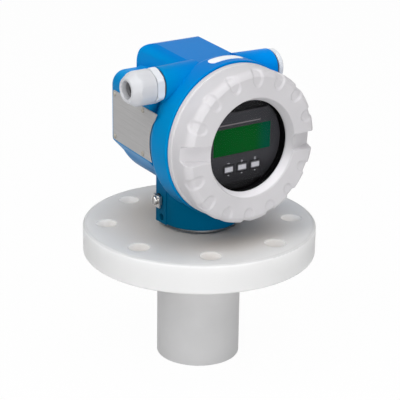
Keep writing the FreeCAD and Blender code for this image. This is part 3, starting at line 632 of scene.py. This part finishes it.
def add_piece(name, mesh, finish, body, angle=SMOOTH_ANGLE):
    """A finished piece from its mesh: shaded smooth by angle, riding on a body."""
    bmesh.ops.recalc_face_normals(mesh, faces=mesh.faces)
    for face in mesh.faces:
        face.smooth = True
    for edge in mesh.edges:
        if len(edge.link_faces) == 2 and edge.calc_face_angle() > angle:
            edge.smooth = False
    piece = add_object(name, mesh, finish)
    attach(piece, body)
    return piece


def smooth_step(value):
    t = min(max(value, 0.0), 1.0)
    return t * t * (3.0 - 2.0 * t)


def cover_section():
    """Corners of the cover's section, from the skirt's end round flank and face to the pane's seat.

    Each is a radius and a depth; a third number rounds the corner."""
    return [
        (SKIRT_IN, COVER_LEN), (SKIRT_R, COVER_LEN, EDGE_ROUND),
        (SKIRT_R, SEAL_FAR), (SEAL_R, SEAL_FAR), (SEAL_R, SEAL_NEAR), (SKIRT_R, SEAL_NEAR),
        (SKIRT_R, COVER_REAR), (COVER_R, COVER_REAR, EDGE_ROUND),
        (COVER_R, COVER_GROOVE + GROOVE_SLOPE, GROOVE_ROUND),
        (COVER_R - GROOVE_DEPTH, COVER_GROOVE),
        (COVER_R, COVER_BROW, BROW_ROUND), (FACE_R, 0.0, FACE_ROUND), (LIP_R, 0.0, LIP_ROUND),
        (SIGHT_R, BEVEL_END), (SIGHT_R, LEDGE), (PANE_R, LEDGE), (PANE_R, PANE_REAR),
        (SKIRT_IN, PANE_REAR),
    ]


def rounded(corners):
    """Points along a closed line; a corner that has a radius as its third number is rounded."""
    points = []
    for i, corner in enumerate(corners):
        here = Vector(corner[:2])
        if len(corner) == 2:
            points.append(here)
            continue
        back = Vector(corners[i - 1][:2]) - here
        ahead = Vector(corners[(i + 1) % len(corners)][:2]) - here
        run = corner[2] / math.tan(back.angle(ahead) / 2)
        start = here + back.normalized() * run
        end = here + ahead.normalized() * run
        for step in range(ROUND_STEPS + 1):
            t = step / ROUND_STEPS
            points.append(start.lerp(here, t).lerp(here.lerp(end, t), t))
    return points


def on_front(point):
    """Whether a point of the section lies on the flank, face or bevel, where the grips are."""
    return point.y < BEVEL_END or (point.x > FACE_R and point.y < COVER_GROOVE)


def divided(points):
    """The closed line with no long stretch on the cover's front."""
    finer = []
    for here, ahead in zip(points, points[1:] + points[:1]):
        parts = 1
        if on_front(here) or on_front(ahead):
            parts = max(1, math.ceil((ahead - here).length / FRONT_STEP))
        finer.extend(here.lerp(ahead, k / parts) for k in range(parts))
    return finer


def turned(section):
    """The section turned round the cover's axis; each vertex keeps its place in the section."""
    mesh = bmesh.new()
    order = mesh.verts.layers.int.new("order")
    line = [mesh.verts.new((p.x, COVER_FRONT + p.y, AXIS_Z)) for p in section]
    for k, vert in enumerate(line):
        vert[order] = k
    edges = [mesh.edges.new((line[k - 1], line[k])) for k in range(len(line))]
    bmesh.ops.spin(mesh, geom=line + edges, cent=(0, 0, AXIS_Z), axis=(0, 1, 0),
                   angle=math.tau, steps=TURN_STEPS, use_merge=True)
    bmesh.ops.recalc_face_normals(mesh, faces=mesh.faces)
    mesh.normal_update()
    return mesh, order


def slot_floor(section):
    """Floor of a tool slot by place in the section: a straight fall from the lip to the flank."""
    cut = [k for k, p in enumerate(section)
           if on_front(p) and p.y < SLOT_OUTER[1] and (p.x > LIP_R or p.y < SLOT_INNER[1])]
    inner, outer = Vector(SLOT_INNER), Vector(SLOT_OUTER)
    return {k: outer.lerp(inner, n / (len(cut) - 1)) for n, k in enumerate(cut)}


def grip_depth(side, along):
    """Depth of a hollow at a place in its tilted plane: long, with round ends and soft sides."""
    r = GRIP_W / 2
    past = max(r - along, along - (GRIP_LEN - r), 0.0)
    inside = r - math.hypot(side, past)
    return GRIP_DEPTH * smooth_step(inside / GRIP_SOFT + GRIP_SPREAD)


def add_cover():
    """The screwed cover: its section turned, the hollows sunk in, the slots cut to their floor."""
    section = divided(rounded(cover_section()))
    floor = slot_floor(section)
    mesh, order = turned(section)
    step = math.tau / GRIPS
    moved = []
    for vert in mesh.verts:
        p = section[vert[order]]
        if not on_front(p):
            continue
        angle = math.atan2(vert.co.z - AXIS_Z, vert.co.x)
        place = round((angle - GRIP_PHASE) / step)
        off = angle - GRIP_PHASE - place * step
        side = p.x * math.sin(off)
        if place % GRIPS not in SLOTS:
            out = p.x * math.cos(off) - GRIP_END_R
            along = out * math.cos(GRIP_TILT) + p.y * math.sin(GRIP_TILT)
            moved.append((vert, vert.co - vert.normal * grip_depth(side, along)))
        elif vert[order] in floor:
            low = floor[vert[order]]
            half = SLOT_HALF + SLOT_DRAFT * (low - p).length
            q = p.lerp(low, smooth_step((half - abs(side)) / SLOT_SOFT + SLOT_SPREAD))
            moved.append((vert, Vector((q.x * math.cos(angle), COVER_FRONT + q.y,
                                        AXIS_Z + q.x * math.sin(angle)))))
    for vert, spot in moved:
        vert.co = spot
    cover = add_piece("cover_casting", mesh, FINISHES["display_cover"], "cover",
                      COVER_ANGLE)
    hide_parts("display_cover")


def add_nameplate():
    """The plate with its front corner trimmed: the edge along the flare runs on to the top."""
    (low_y, low_z), (high_y, high_z) = TRIM_LOW, TRIM_HIGH
    mesh = bmesh.new()
    mesh.from_mesh(NODES["nameplate"].data)
    bmesh.ops.remove_doubles(mesh, verts=mesh.verts, dist=JOIN)
    bmesh.ops.bisect_plane(mesh, geom=mesh.verts[:] + mesh.edges[:] + mesh.faces[:], dist=CUT,
                           plane_co=(0, low_y, 0), plane_no=(0, 1, 0))
    faces = [face for face in mesh.faces if face.calc_center_median().y < low_y]
    edges = list(dict.fromkeys(edge for face in faces for edge in face.edges))
    verts = list(dict.fromkeys(vert for face in faces for vert in face.verts))
    bmesh.ops.bisect_plane(mesh, geom=verts + edges + faces, dist=CUT,
                           plane_co=(0, low_y, low_z),
                           plane_no=(0, low_z - high_z, high_y - low_y), clear_outer=True)
    bmesh.ops.holes_fill(mesh, edges=[edge for edge in mesh.edges if edge.is_boundary])
    sheet = add_piece("nameplate_sheet", mesh, FINISHES["nameplate"], "housing",
                      SHEET_ANGLE)
    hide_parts("nameplate")


def thread_mesh(radius, pitch, turns):
    """A ridge that winds up round Z: its section swept along a helix and capped at both ends."""
    mesh = bmesh.new()
    root = radius - THREAD_SINK
    crest = radius + THREAD_H
    section = ((root, -THREAD_ROOT), (crest, -THREAD_CREST), (crest, THREAD_CREST),
               (root, THREAD_ROOT))
    cap = mesh.faces.new([mesh.verts.new((r, 0, share * pitch)) for r, share in section])
    bmesh.ops.spin(mesh, geom=[cap], cent=(0, 0, 0), axis=(0, 0, 1),
                   dvec=(0, 0, pitch / THREAD_STEPS), angle=turns * math.tau,
                   steps=THREAD_STEPS * turns)
    return mesh


def add_thread(name, node, body, start, direction, radius, pitch, turns):
    """Thread ridge on a screwed piece, from its start along the direction."""
    mesh = thread_mesh(radius, pitch, turns)
    turn = Vector((0, 0, 1)).rotation_difference(Vector(direction)).to_matrix().to_4x4()
    bmesh.ops.transform(mesh, matrix=Matrix.Translation(start) @ turn, verts=mesh.verts)
    add_piece(name, mesh, FINISHES[node], body)


def add_threads():
    """Threads of cover, gland and plug, seen once these are unscrewed."""
    add_thread("cover_thread", "display_cover", "cover",
               (0, COVER_HIGH.y - COVER_LEAD, AXIS_Z), (0, -1, 0),
               SKIRT_R, COVER_PITCH, COVER_TURNS)
    add_thread("gland_thread", "gland_body", "housing",
               (NUT_HIGH.x, ENTRY.y, ENTRY.z), (-1, 0, 0),
               GLAND_R, ENTRY_PITCH, GLAND_TURNS)
    plug_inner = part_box("blanking_plug")[0].x
    add_thread("plug_thread", "blanking_plug", "blanking_plug",
               (plug_inner + PLUG_LEAD, ENTRY.y, ENTRY.z), (1, 0, 0),
               PLUG_R, ENTRY_PITCH, PLUG_TURNS)


def bar(mesh, x, z, width, height):
    """One printed bar on the display's face."""
    made = bmesh.ops.create_cube(mesh, size=1.0)
    place = Matrix.Translation((x, PLATE_FRONT - INK_T / 2, z))
    size = Matrix.Diagonal((width, INK_T, height, 1.0))
    bmesh.ops.transform(mesh, matrix=place @ size, verts=made["verts"])


def key_sign(mesh, key, x, z):
    """A minus, a plus or an E above its key."""
    if key == "key_enter":
        bar(mesh, x - MARK_W / 3, z, MARK_LINE, MARK_W)
        for level in (-0.4, 0.0, 0.4):
            bar(mesh, x + MARK_W / 8, z + level * MARK_W, 0.8 * MARK_W, MARK_LINE)
        return
    bar(mesh, x, z, MARK_W, MARK_LINE)
    if key == "key_plus":
        bar(mesh, x, z, MARK_LINE, MARK_W)


def key_frame(mesh, low, high):
    """Four bars round a key, clear of it."""
    clear = KEY_CLEAR + WELL_LINE / 2
    middle = (low + high) / 2
    for level in (low.z - clear, high.z + clear):
        bar(mesh, middle.x, level, high.x - low.x + 2 * (clear + WELL_LINE / 2), WELL_LINE)
    for end in (low.x - clear, high.x + clear):
        bar(mesh, end, middle.z, WELL_LINE, high.z - low.z + 2 * KEY_CLEAR)


def print_finish(name, dark, pale, gloss=0.5):
    return moulded(name, dark, pale, 0.5, scale=2000.0, depth=0.02, gloss=gloss)


def add_marks():
    """A sign above each key, a stop under it, a dark frame round it; a bare rule above the cell."""
    ink = print_finish("face_print", linear(176, 177, 180), linear(184, 185, 188))
    dark = print_finish("frame_print", linear(8, 8, 9), linear(12, 12, 13), gloss=0.15)
    faint = print_finish("rule_print", linear(118, 112, 112), linear(128, 122, 122))
    signs = bmesh.new()
    frames = bmesh.new()
    for key in ("key_minus", "key_plus", "key_enter"):
        low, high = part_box(key)
        x = (low.x + high.x) / 2
        key_sign(signs, key, x, high.z + MARK_GAP)
        bar(signs, x, low.z - MARK_GAP, STOP_W, STOP_H)
        key_frame(frames, low, high)
    add_piece("key_signs", signs, ink, "housing")
    add_piece("key_frames", frames, dark, "housing")
    rule = bmesh.new()
    bar(rule, RULE_X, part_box("lcd_panel")[1].z + RULE_RISE, RULE_LEN, RULE_W)
    add_piece("display_rule", rule, faint, "housing")


def make_floor():
    """Pale floor that keeps a faint shadow and otherwise reads as white."""
    f = Finish("pale_floor")
    matt = f.add("ShaderNodeBsdfDiffuse", None, {"Color": FLOOR_TONE})
    white = f.add("ShaderNodeEmission", None, {"Color": WHITE, "Strength": 1.0})
    share = f.seen() * FLOOR_WHITE
    pale = f.shaded(f.add("ShaderNodeMixShader", None, {0: share, 1: matt, 2: white}))
    mesh = bmesh.new()
    bmesh.ops.create_grid(mesh, x_segments=1, y_segments=1, size=FLOOR_HALF)
    bmesh.ops.translate(mesh, vec=(0, 0, FLOOR_Z - FLOOR_GAP), verts=mesh.verts)
    add_object("floor", mesh, pale)


def make_world():
    """White for the camera, mirrors and glass, soft light for the rest."""
    world = bpy.data.worlds.new("studio")
    bpy.context.scene.world = world
    world.use_nodes = True
    nodes = Nodes(world.node_tree, "ShaderNodeOutputWorld")
    soft = nodes.add("ShaderNodeBackground", None, {"Color": WHITE, "Strength": SOFT_LIGHT})
    white = nodes.add("ShaderNodeBackground", None, {"Color": WHITE, "Strength": 1.0})
    nodes.done(nodes.add("ShaderNodeMixShader", None, {0: nodes.seen(), 1: soft, 2: white}))


def make_lamps():
    for name, (place, width, height, power) in LAMPS.items():
        data = bpy.data.lights.new(name, "AREA")
        data.shape = "RECTANGLE"
        data.size = width
        data.size_y = height
        data.energy = power
        lamp = bpy.data.objects.new(name, data)
        lamp.location = place
        lamp.rotation_mode = "QUATERNION"
        lamp.rotation_quaternion = (LAMP_AIM - Vector(place)).to_track_quat("-Z", "Y")
        bpy.context.scene.collection.objects.link(lamp)


def make_camera():
    data = bpy.data.cameras.new("camera")
    data.sensor_width = CAMERA_SENSOR
    data.lens = CAMERA_LENS
    data.shift_x, data.shift_y = CAMERA_SHIFT
    data.clip_start, data.clip_end = CAMERA_CLIP
    camera = bpy.data.objects.new("camera", data)
    a = math.radians(CAMERA_AZIMUTH)
    e = math.radians(CAMERA_ELEVATION)
    back = Vector((math.sin(a) * math.cos(e), -math.cos(a) * math.cos(e), math.sin(e)))
    camera.location = CAMERA_AIM + back * CAMERA_DISTANCE
    camera.rotation_mode = "QUATERNION"
    level = (-back).to_track_quat("-Z", "Y")
    camera.rotation_quaternion = level @ Quaternion((0, 0, 1), math.radians(CAMERA_ROLL))
    bpy.context.scene.collection.objects.link(camera)
    bpy.context.scene.camera = camera


FINISHES = paint_nodes()
smooth_nodes()
add_cover()
add_nameplate()
add_threads()
add_marks()
make_floor()
make_world()
make_lamps()
make_camera()
bpy.context.scene.view_settings.view_transform = "Standard"
